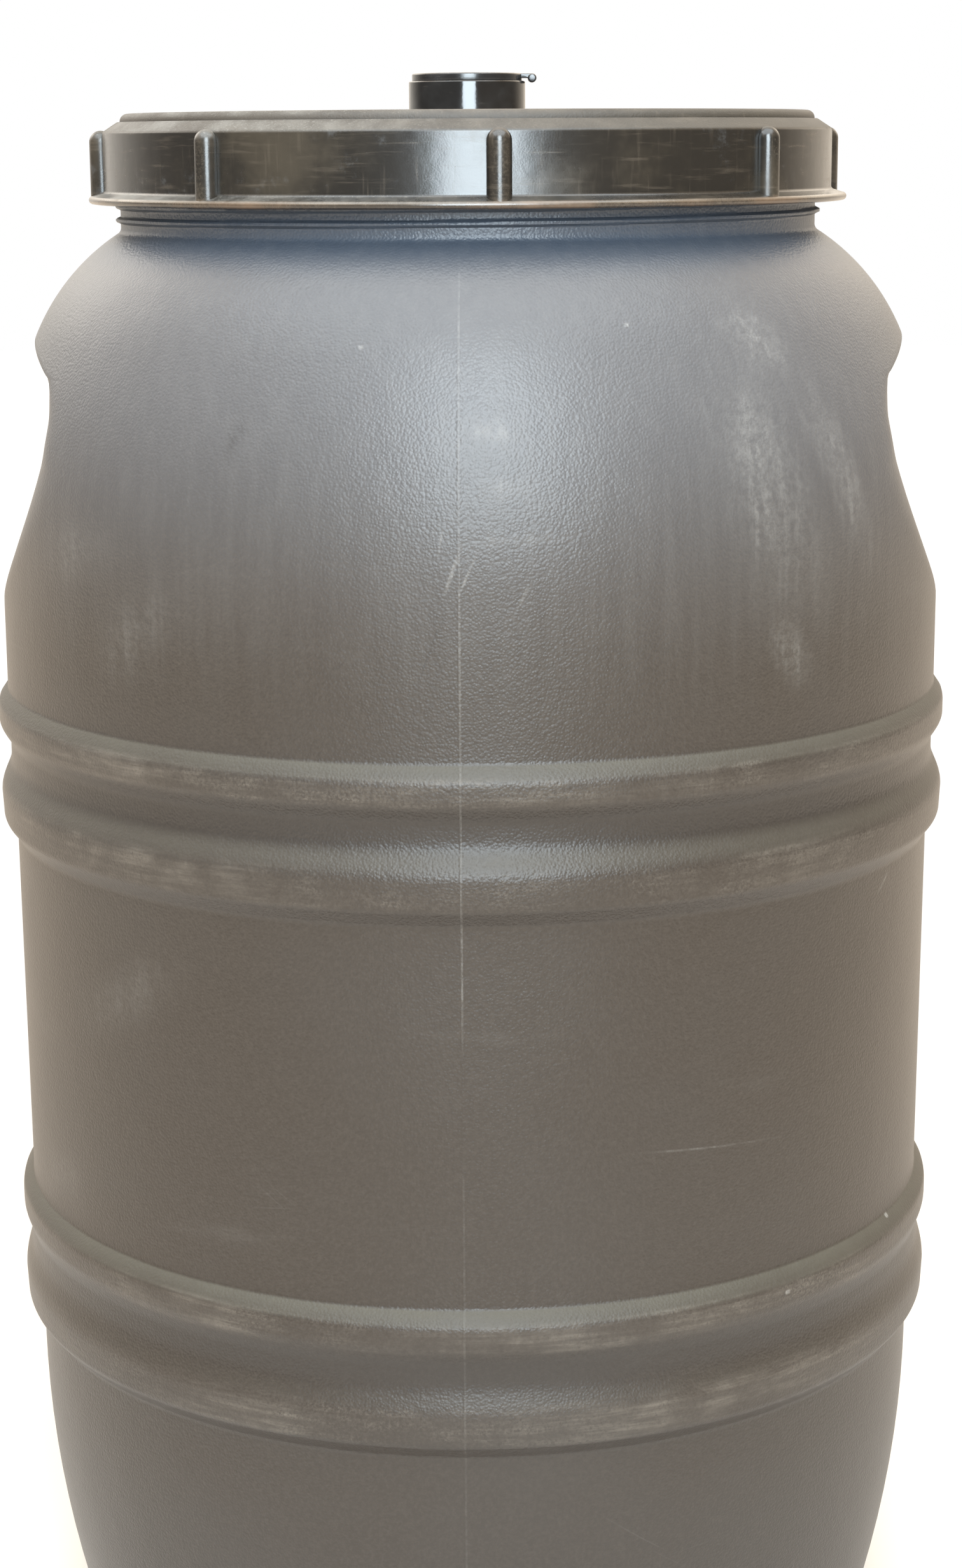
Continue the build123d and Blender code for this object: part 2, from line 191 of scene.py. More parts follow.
def makeWorld():
    world = bpy.data.worlds.new("studio")
    scene.world = world
    world.use_nodes = True
    tree = world.node_tree
    tree.nodes.clear()
    direction = addNode(tree, "TexCoord").outputs["Generated"]
    split = addNode(tree, "SeparateXYZ", {0: direction})
    behind = ramp(tree, split.outputs["Y"], 0.20, 0.95)
    side = ramp(tree, split.outputs["X"], -0.5, 0.6)
    wall = blendColour(tree, side, studio["behindLeft"], studio["behindRight"])
    front = blendColour(tree, side, studio["frontLeft"], studio["frontRight"])
    light = blendColour(tree, behind, front, wall)
    above = ramp(tree, split.outputs["Z"], 0.05, 0.40, studio["horizonDim"], 1.0)
    overhead = ramp(tree, split.outputs["Z"], 0.25, 0.85, 1.0, studio["overheadGain"])
    sideways = ramp(tree, calc(tree, "ABSOLUTE", split.outputs["X"]), 0.35, 0.80)
    lamps = times(tree, sideways, ramp(tree, split.outputs["Z"], 0.12, 0.40))
    lamps = times(tree, lamps, ramp(tree, split.outputs["X"], -0.2, 0.2, 1.0, 0.15))
    level = times(tree, times(tree, above, overhead),
                 timesPlus(tree, lamps, studio["sideGain"], 1.0))
    seen = addNode(tree, "LightPath").outputs["Is Camera Ray"]
    colour = blendColour(tree, seen, light, (1.0, 1.0, 1.0, 1.0))
    room = times(tree, level, studio["roomStrength"])
    unseen = oneLess(tree, seen)
    strength = timesPlus(tree, room, unseen, seen)
    background = addNode(tree, "Background", {"Color": colour, "Strength": strength})
    output = addNode(tree, "OutputWorld")
    tree.links.new(background.outputs[0], output.inputs[0])


def makeStudio():
    makeSoftbox("window")
    makeSoftbox("ceiling")
    makeWorld()
    finish = bpy.data.materials.new("paleFloor")
    finish.use_nodes = True
    tree = finish.node_tree
    place = addNode(tree, "TexCoord").outputs["Object"]
    cloud = noise(tree, place, 1.5)
    tone = blendColour(tree, cloud, studio["floorTone"], studio["floorPale"])
    away = addNode(tree, "VectorMath", {0: place}, operation="LENGTH").outputs["Value"]
    far = ramp(tree, away, studio["floorFade"][0], studio["floorFade"][1])
    shader = tree.nodes["Principled BSDF"]
    tree.links.new(blendColour(tree, far, tone, (0.0, 0.0, 0.0, 1.0)), shader.inputs["Base Color"])
    seen = addNode(tree, "LightPath").outputs["Is Camera Ray"]
    glow = blendColour(tree, seen, studio["floorGlow"], studio["floorSeen"])
    tree.links.new(blendColour(tree, far, (0.0, 0.0, 0.0, 1.0), glow), shader.inputs["Emission Color"])
    shader.inputs["Emission Strength"].default_value = 1.0
    shader.inputs["Roughness"].default_value = 0.9
    bm = bmesh.new()
    bmesh.ops.create_grid(bm, x_segments=1, y_segments=1, size=studio["floorSize"] / 2)
    mesh = bpy.data.meshes.new("floor")
    bm.to_mesh(mesh)
    bm.free()
    mesh.materials.append(finish)
    addObject("floor", mesh)
    scene.view_settings.view_transform = "Standard"
    print("studio ready")


# outlines are drawn in the XZ plane and spun round Z

def roundOff(bm, geometry, offset, segments, affect="EDGES"):
    bmesh.ops.bevel(bm, geom=geometry, offset=offset, offset_type="OFFSET", segments=segments,
                    profile=0.5, affect=affect, material=-1)


def drawOutline(bm, corners, closed=False):
    # each corner is (radius, height) or (radius, height, rounding)
    verts = [bm.verts.new((corner[0], 0, corner[1])) for corner in corners]
    for pair in zip(verts, verts[1:]):
        bm.edges.new(pair)
    if closed:
        bm.edges.new((verts[-1], verts[0]))
    for vert, corner in zip(verts, corners):
        if len(corner) > 2:
            roundOff(bm, [vert], corner[2], 5, "VERTICES")


def spinRound(bm, steps, centre=(0, 0, 0)):
    bmesh.ops.spin(bm, geom=bm.verts[:] + bm.edges[:], cent=centre, axis=(0, 0, 1), dvec=(0, 0, 0),
                   angle=2 * pi, steps=steps, use_merge=True)
    bmesh.ops.remove_doubles(bm, verts=bm.verts, dist=0.001)
    bmesh.ops.recalc_face_normals(bm, faces=bm.faces)


def arcRows(centre, radius, start, end, rows):
    # points on an arc, angles in degrees up from the horizontal
    angles = [radians(start + (end - start) * i / rows) for i in range(rows + 1)]
    return [(centre[0] + radius * cos(a), centre[1] + radius * sin(a)) for a in angles]


def arcThrough(start, middle, end, rows):
    a, b, c = (Vector(p) for p in (start, middle, end))
    turn = 2 * ((a.x - c.x) * (b.y - c.y) - (b.x - c.x) * (a.y - c.y))
    first = (a - c).dot(a + c)
    second = (b - c).dot(b + c)
    centre = Vector((first * (b.y - c.y) - second * (a.y - c.y),
                     second * (a.x - c.x) - first * (b.x - c.x))) / turn
    low = degrees(atan2(a.y - centre.y, a.x - centre.x))
    high = degrees(atan2(c.y - centre.y, c.x - centre.x))
    return arcRows(centre, (a - centre).length, low, high, rows)


def smooth(t):
    t = min(max(t, 0.0), 1.0)
    return t * t * (3 - 2 * t)


def between(value, low, high):
    return smooth((value - low) / (high - low))


def easeRows(start, end, rows):
    # from start to end with upright tangents at both
    points = []
    for i in range(rows + 1):
        t = i / rows
        points.append((start[0] + (end[0] - start[0]) * smooth(t), start[1] + (end[1] - start[1]) * t))
    return points


def softMin(a, b, softness):
    h = min(max(0.5 + 0.5 * (b - a) / softness, 0.0), 1.0)
    return b + (a - b) * h - softness * h * (1 - h)


def joinTool(piece, tool):
    # joins the tool to the piece and keeps the result as the piece's own mesh
    modifier = piece.modifiers.new("join", "BOOLEAN")
    modifier.operation = "UNION"
    modifier.solver = "EXACT"
    modifier.object = tool
    bpy.context.view_layer.update()
    joined = bpy.data.meshes.new_from_object(piece.evaluated_get(bpy.context.evaluated_depsgraph_get()))
    piece.modifiers.clear()
    piece.data = joined
    bpy.data.objects.remove(tool)


def toObject(bm, name):
    bmesh.ops.scale(bm, vec=(mm, mm, mm), verts=bm.verts)
    mesh = bpy.data.meshes.new(name)
    bm.to_mesh(mesh)
    bm.free()
    return addObject(name, mesh)


def finishPiece(piece, finish, body, slotName, *replaced, sharpAngle=36):
    bm = bmesh.new()
    bm.from_mesh(piece.data)
    for edge in bm.edges:
        edge.smooth = edge.calc_face_angle(0) < radians(sharpAngle)
    for face in bm.faces:
        face.smooth = True
    bm.to_mesh(piece.data)
    openEdges = sum(not edge.is_manifold for edge in bm.edges)
    bm.free()
    piece.data.materials.clear()
    piece.data.materials.append(finish)
    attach(piece, body)
    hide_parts(*replaced)
    triangles = sum(len(p.vertices) - 2 for p in piece.data.polygons)
    print("piece", piece.name, triangles, "triangles", openEdges, "open edges")


# effects shared by several materials

def newGroup(name, output, **values):
    # each takes a place on the piece and some numbers, and puts out one value
    tree = bpy.data.node_groups.new(name, "ShaderNodeTree")
    sockets = tree.interface
    sockets.new_socket("Vector", in_out="INPUT", socket_type="NodeSocketVector")
    for valueName, value in values.items():
        made = sockets.new_socket(valueName, in_out="INPUT", socket_type="NodeSocketFloat")
        made.default_value = value
    sockets.new_socket(output, in_out="OUTPUT", socket_type="NodeSocketFloat")
    return tree, tree.nodes.new("NodeGroupInput").outputs, tree.nodes.new("NodeGroupOutput").inputs[0]


def useGroup(tree, group, place, **values):
    node = tree.nodes.new("ShaderNodeGroup")
    node.node_tree = group
    tree.links.new(place, node.inputs["Vector"])
    for name, value in values.items():
        node.inputs[name].default_value = value
    return node.outputs[0]


def makeGrainGroup():
    # leather grain of a textured mould; Size is one pebble in metres
    tree, given, result = newGroup("leatherGrain", "Height", Size=0.0015)
    scale = calc(tree, "DIVIDE", 1.0, given["Size"])
    pebbles = addNode(tree, "TexVoronoi", {"Vector": given["Vector"], "Scale": scale, "Smoothness": 0.35},
                      feature="SMOOTH_F1").outputs["Distance"]
    fine = noise(tree, given["Vector"], times(tree, scale, 1.7))
    tree.links.new(timesPlus(tree, fine, 0.45, oneLess(tree, pebbles)), result)
    return tree


def makeStreakGroup():
    # streaks drawn out along one direction: Round and Up are the pattern's frequencies per metre
    tree, given, result = newGroup("drawnStreaks", "Mask", Round=12.0, Up=160.0, Low=0.5, High=0.7,
                                   Detail=3.0)
    stretch = addNode(tree, "CombineXYZ", {"X": given["Round"], "Y": given["Round"], "Z": given["Up"]})
    place = addNode(tree, "VectorMath", {0: given["Vector"], 1: stretch.outputs[0]}, operation="MULTIPLY")
    drawn = noise(tree, place.outputs[0], 1.0, given["Detail"], 0.65)
    tree.links.new(ramp(tree, drawn, given["Low"], given["High"]), result)
    return tree


def makeRingWearGroup():
    # wear where the surface stands out furthest: between two radii, broken up by noise
    tree, given, result = newGroup("ringWear", "Mask", Inner=0.285, Outer=0.29, Cover=0.5)
    ring = ramp(tree, radiusOf(tree, given["Vector"]), given["Inner"], given["Outer"])
    patches = noise(tree, given["Vector"], 9.0)
    speckle = noise(tree, given["Vector"], 620.0, 2.0, 0.7)
    limit = oneLess(tree, given["Cover"])
    grain = timesPlus(tree, speckle, 0.5, times(tree, patches, 0.5))
    broken = ramp(tree, grain, calc(tree, "SUBTRACT", limit, 0.08), calc(tree, "ADD", limit, 0.1))
    tree.links.new(times(tree, ring, broken), result)
    return tree


def makeDustGroup():
    # dust that settles on what faces up; Even goes from patchy to a whole film
    tree, given, result = newGroup("settledDust", "Mask", Amount=0.5, Even=0.0)
    facing = addNode(tree, "SeparateXYZ", {0: addNode(tree, "NewGeometry").outputs["Normal"]}).outputs["Z"]
    up = ramp(tree, facing, 0.15, 0.9)
    cloud = noise(tree, given["Vector"], 38.0, 5.0, 0.7)
    speck = noise(tree, given["Vector"], 900.0, 1.0)
    even = timesPlus(tree, ramp(tree, speck, 0.55, 0.75), 0.6, ramp(tree, cloud, 0.3, 0.75))
    patchy = oneLess(tree, given["Even"])
    even = timesPlus(tree, even, patchy, given["Even"])
    mask = times(tree, times(tree, up, even), given["Amount"], clamp=True)
    tree.links.new(mask, result)
    return tree


def makeMarkGroup():
    # one placed mark: a soft bar of Length by Width, centred at an azimuth and height, turned by Tilt
    tree, given, result = newGroup("placedMark", "Mask", Azimuth=0.0, Height=0.5, Length=0.1, Width=0.01,
                                   Tilt=0.0, Soft=0.4)
    back = times(tree, calc(tree, "RADIANS", given["Azimuth"]), -1.0)
    turned = addNode(tree, "VectorRotate", {"Vector": given["Vector"], "Angle": back},
                     rotation_type="Z_AXIS")
    split = addNode(tree, "SeparateXYZ", {0: turned.outputs[0]})
    side = split.outputs["Y"]
    up = calc(tree, "SUBTRACT", split.outputs["Z"], given["Height"])
    tilt = calc(tree, "RADIANS", given["Tilt"])
    cosine = calc(tree, "COSINE", tilt)
    sine = calc(tree, "SINE", tilt)
    along = timesPlus(tree, side, cosine, times(tree, up, sine))
    across = calc(tree, "SUBTRACT", times(tree, up, cosine), times(tree, side, sine))
    inside = oneLess(tree, given["Soft"])

    def within(away, whole):
        # 1 in the middle of the bar, fading to 0 at its edge
        share = calc(tree, "DIVIDE", calc(tree, "ABSOLUTE", away), times(tree, whole, 0.5))
        return ramp(tree, share, inside, 1.0, 1.0, 0.0)

    ends = within(along, given["Length"])
    sides = within(across, given["Width"])
    front = calc(tree, "GREATER_THAN", split.outputs["X"], 0.0)
    tree.links.new(times(tree, times(tree, ends, sides), front), result)
    return tree


def makeScratchGroup():
    # hairline scratches in one leaning direction, kept to patches
    tree, given, result = newGroup("hairScratches", "Mask", Lean=0.0, Cover=0.3)
    lean = calc(tree, "RADIANS", given["Lean"])
    leaned = addNode(tree, "VectorRotate", {"Vector": given["Vector"], "Angle": lean},
                     rotation_type="Y_AXIS")
    drawn = addNode(tree, "VectorMath", {0: leaned.outputs[0], 1: (7.0, 7.0, 420.0)}, operation="MULTIPLY")
    thin = ramp(tree, noise(tree, drawn.outputs[0], 1.0, 1.0), 0.69, 0.73)
    patches = noise(tree, given["Vector"], 5.0)
    limit = calc(tree, "SUBTRACT", 0.85, times(tree, given["Cover"], 0.5))
    kept = ramp(tree, patches, calc(tree, "SUBTRACT", limit, 0.1), limit)
    tree.links.new(times(tree, thin, kept), result)
    return tree


grainGroup = makeGrainGroup()
streakGroup = makeStreakGroup()
ringWearGroup = makeRingWearGroup()
dustGroup = makeDustGroup()
markGroup = makeMarkGroup()
scratchGroup = makeScratchGroup()


def newFinish(name):
    finish = bpy.data.materials.new(name)
    finish.use_nodes = True
    tree = finish.node_tree
    place = addNode(tree, "TexCoord").outputs["Object"]
    centred = addNode(tree, "Mapping", {"Vector": place}).outputs[0]
    return finish, tree, centred


def closeFinish(tree, colour, rough, relief, depth, specular=0.5):
    shader = tree.nodes["Principled BSDF"]
    bump = addNode(tree, "Bump", {"Height": relief, "Distance": depth})
    tree.links.new(colour, shader.inputs["Base Color"])
    tree.links.new(rough, shader.inputs["Roughness"])
    tree.links.new(bump.outputs[0], shader.inputs["Normal"])
    shader.inputs["Specular IOR Level"].default_value = specular


# drum body

drum = {
    "wall": 5.0,
    "steps": 264,
    "footInner": 210.0,
    "footOuter": 226.0,
    "baseRise": 14.0,
    "heel": (248.5, 26.0),
    "taper": (269.0, 112.0),
    "bellyLow": 278.3,
    "bellyMidLow": 281.8,
    "bellyMidHigh": 283.2,
    "bellyTop": 285.8,
    "domeStart": 731.7,
    "domeLowArc": 297.0,
    "domeJoin": 24.0,
    "domeHighArc": 132.2,
    "neckRadius": 208.3,
    "neckBore": 202.5,
    "neckFillet": 2.3,
    "rimRound": 1.4,
    "seamAzimuth": -91.0,
    "seamHalfWidth": 0.8,
    "seamProud": 0.22,
    "seamLow": 34.0,
    "seamHigh": 893.0,
}

hoops = {
    "upper": {"top": 641.0, "crest": 291.7, "valley": 285.2},
    "lower": {"top": 331.5, "crest": 288.7, "valley": 284.6},
}
hoopDrops = {
    "ledge": 7.5,
    "crest": 10.5,
    "crestEnd": 19.0,
    "valley": 34.0,
    "valleyEnd": 42.0,
    "lowCrest": 64.0,
    "lowCrestEnd": 80.0,
    "bottom": 90.0,
}

grip = {
    "floor": ((285.8, 697.0), (275.1, 715.0), (263.7, 738.0), (245.3, 784.0), (238.8, 834.0)),
    "lip": 847.0,
    "archRadius": 480.0,
    "halfWidth": 150.0,
    "cornerRadius": 16.0,
    "lipRadius": 4.5,
    "fadeStart": 0.5,     # the lip dies out where the scoop is shallower than this
    "fadeDepth": 2.5,
    "sideSoftness": 13.0,
    "footSoftness": 6.0,
    "bandLow": 825.0,     # rows between these heights are led round the lip
    "bandHigh": 857.0,
    "bandRows": 24,
    "bandShares": (0.14, 0.50, 0.62, 0.88),         # where in those rows hollow, ledge, bend and top start
    "bulgeHeights": (700.0, 770.0, 785.0, 825.0),   # the side edges are softest between the middle two
    "sagHeights": (760.0, 900.0),    # where the arch starts to pull rows down, and where it has let go
    "sagFade": 80.0,
    "reach": (680.0, 905.0),         # heights that the press may touch
}

thread = {
    "pitch": 8.0,
    "height": 2.9,
    "base": 4.4,
    "crest": 1.4,
    "start": 917.5,
    "startAzimuth": 150.0,
    "turns": 4.9,
    "rowStep": 0.8,
    "lidTurns": 2.9,
    "lidStartTurns": 2.5,
}

domeTurn = radians(drum["domeJoin"])
domeArcStep = drum["domeLowArc"] - drum["domeHighArc"]    # the two arcs' centres are this far apart
domeHighCentre = (drum["bellyTop"] - drum["domeLowArc"] + domeArcStep * cos(domeTurn),
                  drum["domeStart"] + domeArcStep * sin(domeTurn))


def wallRadius(height, inset=0.0):
    # radius of the wall from the upper hoops to the neck
    if height <= drum["domeStart"]:
        return drum["bellyTop"] - inset
    arc = drum["domeLowArc"] - inset
    if height <= drum["domeStart"] + arc * sin(domeTurn):
        return drum["bellyTop"] - drum["domeLowArc"] + sqrt(arc ** 2 - (height - drum["domeStart"]) ** 2)
    arc = drum["domeHighArc"] - inset
    return domeHighCentre[0] + sqrt(max(arc ** 2 - (height - domeHighCentre[1]) ** 2, 0.0))


def hoopRows(name, above, below, inset=0.0, rows=9):
    # one pair of hoops from its bottom edge to its top edge
    top = hoops[name]["top"]
    crest = hoops[name]["crest"] - inset
    valley = hoops[name]["valley"] - inset
    at = {key: top - drop for key, drop in hoopDrops.items()}
    corner = () if inset else (2.2,)
    ledgeCorner = () if inset else (1.3,)
    return ([(below - inset, at["bottom"], *corner), (crest - 0.8, at["lowCrestEnd"], *corner)]
            + easeRows((crest, at["lowCrest"]), (valley, at["valleyEnd"]), rows)
            + easeRows((valley, at["valley"]), (crest, at["crestEnd"]), rows)
            + [(crest, at["crest"], *ledgeCorner), (crest - 0.8, at["ledge"]),
               (above - inset, top, *ledgeCorner)])


def outerRows():
    rise = drum["baseRise"]
    inner = drum["footInner"]
    rows = [(0, rise), (60, rise), (120, rise), (inner - rise, rise, 4.0), (inner, 0, 2.0)]
    foot = (drum["footOuter"], 0.0)
    heel = drum["heel"]
    lowEnd = (drum["bellyLow"], hoops["lower"]["top"] - hoopDrops["bottom"])
    taper = arcThrough(heel, drum["taper"], lowEnd, 12)
    lean = (Vector(taper[1]) - Vector(taper[0])).normalized()
    heelCurve = interpolate_bezier(foot, (foot[0] + 13, 0), Vector(heel) - lean * 13, heel, 10)
    rows += [tuple(p)[:2] for p in heelCurve]
    rows += taper[1:-1]
    rows += hoopRows("lower", drum["bellyMidLow"], drum["bellyLow"])
    low, high = hoops["lower"]["top"], hoops["upper"]["top"] - hoopDrops["bottom"]
    for i in range(1, 6):
        share = i / 6
        rows.append((drum["bellyMidLow"] + (drum["bellyMidHigh"] - drum["bellyMidLow"]) * share,
                     low + (high - low) * share))
    rows += hoopRows("upper", drum["bellyTop"], drum["bellyMidHigh"])
    floorLow = grip["floor"][0][1]
    heights = [hoops["upper"]["top"] + 12 + 11 * i for i in range(4)]
    count = 33
    heights += [floorLow - 5 + (grip["bandLow"] - floorLow + 5) * i / count for i in range(count)]
    band = grip["bandHigh"] - grip["bandLow"]
    heights += [grip["bandLow"] + band * i / grip["bandRows"] for i in range(grip["bandRows"] + 1)]
    rows += [(wallRadius(z), z) for z in heights]
    arc = drum["domeHighArc"]
    low = degrees(asin((grip["bandHigh"] - domeHighCentre[1]) / arc))
    neckAngle = degrees(atan2(sqrt(arc ** 2 - (drum["neckRadius"] - domeHighCentre[0]) ** 2),
                              drum["neckRadius"] - domeHighCentre[0]))
    dome = arcRows(domeHighCentre, arc, low, neckAngle, 18)
    rows += dome[1:-1]
    rows.append((*dome[-1], drum["neckFillet"]))
    return rows


def neckRows():
    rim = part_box("drum_shell")[1].z / mm
    low = thread["start"] - thread["base"] / 2 - 0.5
    high = rim - drum["rimRound"] - 1
    count = round((high - low) / thread["rowStep"])
    rows = [(drum["neckRadius"], low + (high - low) * i / count) for i in range(count + 1)]
    return rows + [(drum["neckRadius"], rim, drum["rimRound"]), (drum["neckBore"], rim, drum["rimRound"])]


def innerRows():
    wall = drum["wall"]
    arc = drum["domeHighArc"] - wall
    neckAngle = degrees(atan2(sqrt(arc ** 2 - (drum["neckBore"] - domeHighCentre[0]) ** 2),
                              drum["neckBore"] - domeHighCentre[0]))
    rows = arcRows(domeHighCentre, arc, neckAngle, 36, 7)
    high = rows[-1][1]
    low = grip["floor"][0][1] - 8
    count = 27
    heights = [high + (low - high) * i / count for i in range(1, count + 1)]
    rows += [(wallRadius(z, wall), z) for z in heights]
    rows += reversed(hoopRows("upper", drum["bellyTop"], drum["bellyMidHigh"], wall, 3))
    rows += reversed(hoopRows("lower", drum["bellyMidLow"], drum["bellyLow"], wall, 3))
    floor = drum["baseRise"] + wall
    rows += [(drum["taper"][0] - wall, drum["taper"][1]),
             (drum["heel"][0] - wall, drum["heel"][1] + wall / 2),
             (drum["footOuter"] - wall, wall), (drum["footInner"] + wall / 2, wall),
             (drum["footInner"] - drum["baseRise"] + wall / 2, floor), (0, floor)]
    return rows


gripFloorCurve = numpy.polyfit([z for _, z in grip["floor"]], [x for x, _ in grip["floor"]], 4)


def gripFloor(height, inset):
    low, high = grip["floor"][0], grip["floor"][-1]
    slope = (grip["floor"][1][0] - low[0]) / (grip["floor"][1][1] - low[1])
    if height <= low[1]:
        return low[0] + slope * (height - low[1]) - inset
    return float(numpy.polyval(gripFloorCurve, min(height, high[1]))) - inset


def pressGrip(vert, inset):
    # moves one vertex of the plain drum onto the scooped one
    side = 1 if vert.co.x > 0 else -1
    height = vert.co.z
    across = abs(vert.co.y)
    arch = grip["archRadius"]
    edge = min(across, grip["halfWidth"])
    beside = smooth((across - grip["halfWidth"]) / grip["sagFade"])
    sag = (arch - sqrt(arch ** 2 - edge ** 2)) * (1 - beside)
    softLow, softest, stillSoft, softHigh = grip["bulgeHeights"]
    bulge = between(height, softLow, softest) * (1 - between(height, stillSoft, softHigh))
    softness = grip["footSoftness"] + (grip["sideSoftness"] - grip["footSoftness"]) * bulge

    def plain(z):
        return sqrt(max(wallRadius(z, inset) ** 2 - vert.co.y ** 2, 0.0))

    def scooped(z):
        return softMin(plain(z), gripFloor(z, inset), softness)

    sagLow, sagHigh = grip["sagHeights"]
    lowered = height - sag * between(height, sagLow, grip["bandLow"]) * (
        1 - between(height, grip["bandHigh"], sagHigh))
    lip = grip["lip"] + inset - sag
    if grip["bandLow"] <= height <= grip["bandHigh"] and not inset:
        low, high = grip["bandLow"] - sag, grip["bandHigh"] - sag
        share = (height - grip["bandLow"]) / (high - low)
        depth = plain(lip) - scooped(lip)
        fit = min(1.0, depth / (grip["cornerRadius"] + grip["lipRadius"] + 1))
        corner = grip["cornerRadius"] * fit
        nose = grip["lipRadius"] * fit
        innerX, outerX = scooped(lip - corner), plain(lip + nose)
        squeeze = min(1.0, max(outerX - innerX, 0.0) / max(corner + nose, 0.001))
        hollow, ledge, bend, top = grip["bandShares"]
        if share < hollow:
            z = low + (lip - corner - low) * share / hollow
            x = scooped(z)
        elif share < ledge:
            turn = radians(90 * (share - hollow) / (ledge - hollow))
            x, z = innerX + corner * squeeze * (1 - cos(turn)), lip - corner + corner * sin(turn)
        elif share < bend:
            start, end = innerX + corner * squeeze, outerX - nose * squeeze
            x, z = start + (end - start) * (share - ledge) / (bend - ledge), lip
        elif share < top:
            turn = radians(90 * (share - bend) / (top - bend))
            x, z = outerX - nose * squeeze * (1 - sin(turn)), lip + nose * (1 - cos(turn))
        else:
            z = lip + nose + (high - lip - nose) * (share - top) / (1 - top)
            x = plain(z)
        sharp = smooth((depth - grip["fadeStart"]) / grip["fadeDepth"])
        easyZ = low + (high - low) * share
        easyX = scooped(easyZ) + (plain(easyZ) - scooped(easyZ)) * smooth(share)
        vert.co.x = side * (easyX + (x - easyX) * sharp)
        vert.co.z = easyZ + (z - easyZ) * sharp
        return
    x = scooped(lowered) if lowered < lip + (1.5 if inset else 0) else plain(lowered)
    vert.co.x, vert.co.z = side * x, lowered


def threadHeight(height, azimuth, start, turns):
    # how far the ridge stands out here
    pitch = thread["pitch"]
    along = ((azimuth - thread["startAzimuth"]) % 360) / 360
    turn = round((height - start) / pitch - along) + along
    away = abs(height - start - pitch * turn)
    if turn < 0 or turn > turns:
        return 0.0
    flank = (thread["base"] / 2 - away) / ((thread["base"] - thread["crest"]) / 2)
    fade = min(smooth(turn / 0.05), smooth((turns - turn) / 0.05))
    return thread["height"] * smooth(flank) * fade


def raiseSeam(bm):
    # the mould's parting line: extra edges along it, then the middle ones pushed out
    out = Vector((cos(radians(drum["seamAzimuth"])), sin(radians(drum["seamAzimuth"])), 0))
    across = Vector((-out.y, out.x, 0))
    for offset in (-1, 0, 1):
        geometry = bm.verts[:] + bm.edges[:] + bm.faces[:]
        bmesh.ops.bisect_plane(bm, geom=geometry, plane_co=across * offset * drum["seamHalfWidth"],
                               plane_no=across, dist=0.0001)
    for vert in bm.verts:
        low = smooth((vert.co.z - drum["seamLow"]) / 6)
        high = 1 - smooth((vert.co.z - drum["seamHigh"]) / 12)
        outside = hypot(vert.co.x, vert.co.y) > drum["footOuter"] and vert.normal.dot(vert.co) > 0
        if outside and abs(vert.co.dot(across)) < 0.01:
            radial = Vector((vert.co.x, vert.co.y, 0)).normalized()
            room = cadHigh.x / mm - hypot(vert.co.x, vert.co.y)    # the seam stays inside the frame's size
            vert.co += radial * min(drum["seamProud"], max(room, 0.0)) * low * high


def makeDrumShell(finish):
    bm = bmesh.new()
    drawOutline(bm, outerRows() + neckRows() + innerRows())
    spinRound(bm, drum["steps"])
    neckFoot = thread["start"] - thread["base"]
    wall = drum["wall"]
    for vert in bm.verts:
        radius = hypot(vert.co.x, vert.co.y)
        height = vert.co.z
        inset = 0.0 if radius > wallRadius(height) - wall / 2 else wall
        gripLow, gripHigh = grip["reach"]
        besideGrip = gripLow < height < gripHigh and abs(vert.co.y) < abs(vert.co.x) * 1.5
        if besideGrip and radius > drum["neckRadius"]:
            pressGrip(vert, inset)
        elif height > neckFoot and abs(radius - drum["neckRadius"]) < 0.01:
            azimuth = degrees(atan2(vert.co.y, vert.co.x))
            proud = threadHeight(height, azimuth, thread["start"], thread["turns"])
            vert.co.xy *= (radius + proud) / radius
    bm.normal_update()
    raiseSeam(bm)
    bm.normal_update()
    piece = toObject(bm, "drumShell")
    finishPiece(piece, finish, "drum", "drum_hdpe", "drum_shell", sharpAngle=50)


drumFinish = {
    "tone": (0.036, 0.0285, 0.0225, 1.0),
    "toneCool": (0.041, 0.035, 0.030, 1.0),
    "fleck": (0.072, 0.060, 0.050, 1.0),
    # the chalk colour also paints the highlight along the seam
    "chalkAndHighlightTone": (0.50, 0.49, 0.46, 1.0),
    "rubbed": (0.30, 0.265, 0.22, 1.0),       # dry, rubbed plastic on the hoops
    "paintedLedgeLight": (0.104, 0.095, 0.072, 1.0),      # painted light from above on the up-facing ledges
    "dark": (0.022, 0.020, 0.019, 1.0),
    "roughness": 0.41,
    "grainSize": 0.0016,
    "grainDepth": 0.00022,
    "specular": 0.55,
    "paintedTopLight": 0.18,                           # how much painted light from above lightens the shoulder
    "paintedTopLightTone": (0.37, 0.40, 0.45, 1.0),
    "lidShadowPaint": (0.040, 0.058, 0.085, 1.0),   # painted shadow of the lid: the neck and the ring below it are painted dark blue
}
